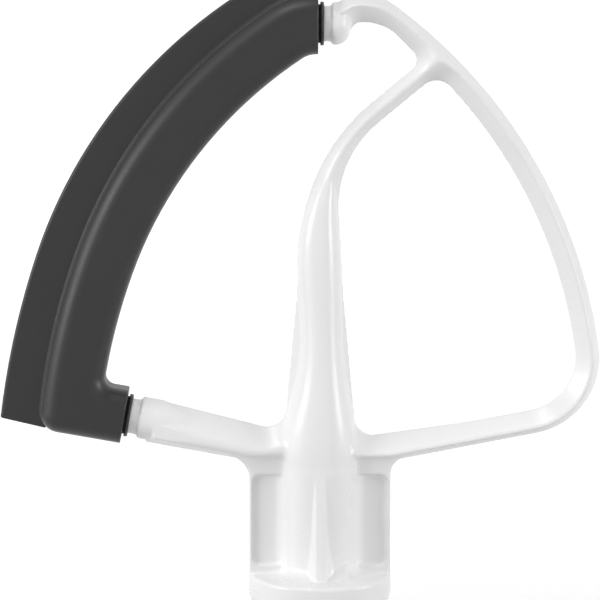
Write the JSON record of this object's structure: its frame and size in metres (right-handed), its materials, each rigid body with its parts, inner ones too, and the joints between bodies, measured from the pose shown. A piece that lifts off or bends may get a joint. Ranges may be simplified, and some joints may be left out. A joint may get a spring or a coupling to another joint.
{
  "type": "stand mixer flat beater",
  "caption": "Flat beater for a stand mixer: a white cast frame with a shaft hub, a centre column and an open loop, and a dark silicone scraping edge along one side.",
  "frame": {"origin": "centre of the hub's end face, on the shaft bore's axis", "axes": "+Z along the shaft away from the mixer, +X towards the open loop, the soft edge lies on the -X side, Y = 0 is the casting's parting plane"},
  "size_m": [0.1475, 0.0352, 0.1731],
  "materials": {
    "white_coat": "satin gloss coat on cast aluminium",
    "core_plastic": "matte",
    "grey_silicone": "satin"
  },
  "bodies": {
    "root": {"beater_frame": "white_coat", "edge_core": "core_plastic", "flex_edge": "grey_silicone"}
  },
  "joints": []
}
